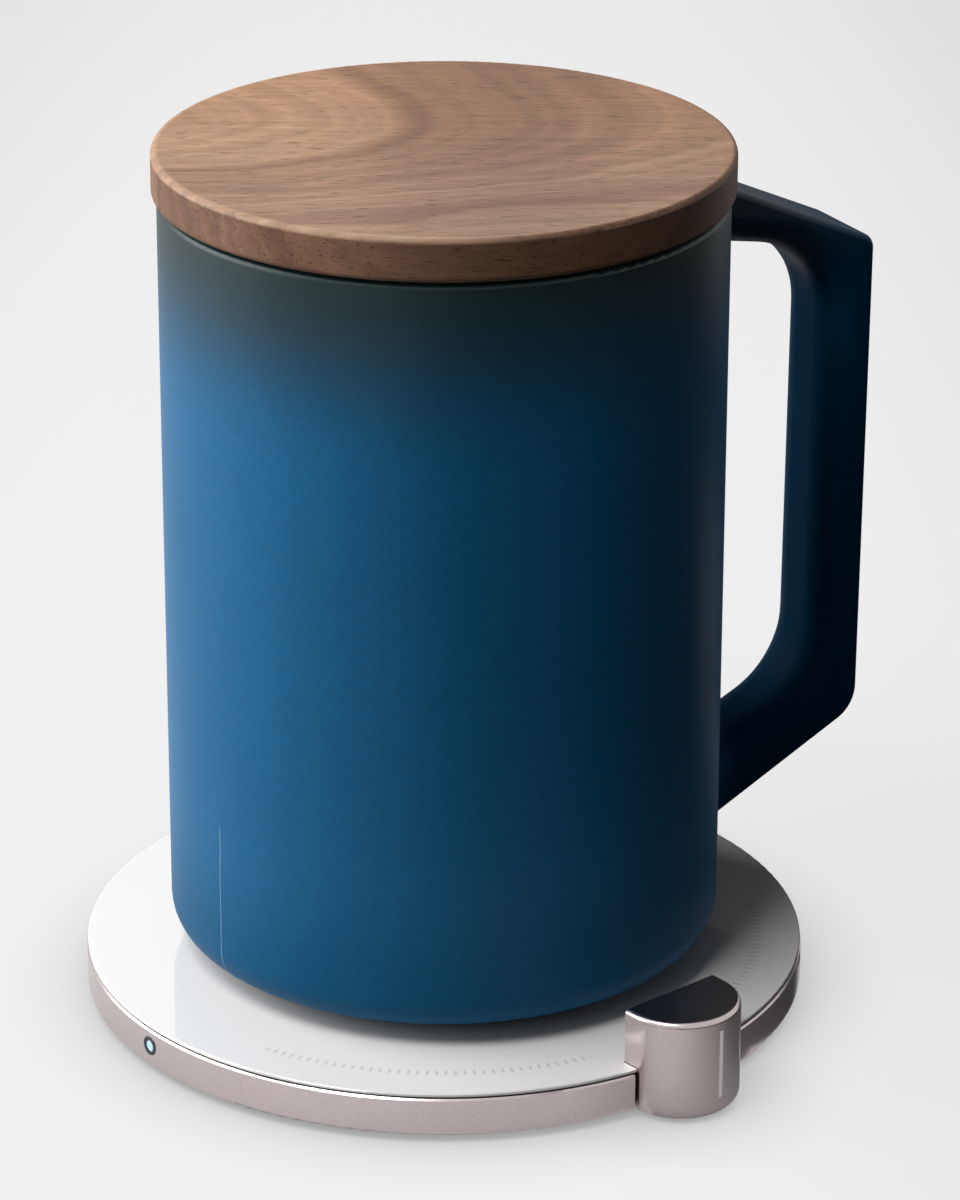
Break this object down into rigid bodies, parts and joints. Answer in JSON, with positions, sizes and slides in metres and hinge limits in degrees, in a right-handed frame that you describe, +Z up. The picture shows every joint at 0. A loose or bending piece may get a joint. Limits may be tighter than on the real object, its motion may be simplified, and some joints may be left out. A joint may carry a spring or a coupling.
{
  "type": "self-heating mug",
  "caption": "Ceramic mug with an angular handle and a walnut lid, standing on a round wireless heating hub with a white plate, a satin metal rim, an indicator lamp and a half-round light post.",
  "frame": {"origin": "centre of the hub's foot pad, on the surface that the hub stands on", "axes": "+Z up along the axis of the hub, the mug and the lid; +X along the mug's handle"},
  "size_m": [0.1262, 0.1167, 0.1344],
  "materials": {
    "blue_glaze": "matte satin glaze",
    "walnut": "oiled",
    "silicone_black": "matte",
    "white_plate": "gloss, back-painted white",
    "champagne_metal": "bead-blasted, anodised",
    "dark_plastic": "fine texture",
    "white_plastic": "smooth",
    "copper_winding": "enamelled wire",
    "ferrite": "sintered",
    "circuit_board": "solder mask",
    "chip_black": "moulded",
    "capacitor_tan": "fired",
    "screw_steel": "plain",
    "socket_steel": "deep-drawn",
    "bezel_black": "gloss",
    "light_pipe": "translucent",
    "led_white": "moulded",
    "sensor_epoxy": "potted",
    "spreader_metal": "rolled",
    "heater_amber": "polyimide film",
    "insulation_felt": "pressed fibre"
  },
  "bodies": {
    "hub": {"foot_pad": "silicone_black", "base_cover": "dark_plastic", "cover_screws": "screw_steel", "rim_housing": "champagne_metal", "plate_gasket": "silicone_black", "glass_plate": "white_plate", "deck": "white_plastic", "transmitter_coil": "copper_winding", "transmitter_ferrite": "ferrite", "coil_tray": "white_plastic", "plate_sensor": "sensor_epoxy", "main_board": "circuit_board", "board_screws": "screw_steel", "board_chips": "chip_black", "board_capacitors": "capacitor_tan", "board_inductors": "chip_black", "power_socket": "socket_steel", "indicator_bezel": "bezel_black", "indicator_lens": "light_pipe", "indicator_led": "led_white", "post_housing": "champagne_metal", "post_back": "champagne_metal", "post_screw": "screw_steel", "post_light_bar": "light_pipe", "post_light_board": "circuit_board", "post_leds": "led_white"},
    "mug": {"ceramic_mug": "blue_glaze", "mug_bottom_cover": "dark_plastic", "mug_foot_ring": "silicone_black", "receiver_coil": "copper_winding", "receiver_ferrite": "ferrite", "receiver_board": "circuit_board", "receiver_screws": "screw_steel", "receiver_chips": "chip_black", "heat_spreader": "spreader_metal", "heater_film": "heater_amber", "insulation_pad": "insulation_felt", "mug_sensor": "sensor_epoxy"},
    "lid": {"walnut_lid": "walnut", "lid_seal": "silicone_black"}
  },
  "joints": [
    {"name": "mug_lift", "type": "slide", "parent": "hub", "child": "mug", "axis": [0, 0, 1], "range_m": [0, 0.08]},
    {"name": "lid_lift", "type": "slide", "parent": "mug", "child": "lid", "axis": [0, 0, 1], "range_m": [0, 0.12]}
  ]
}
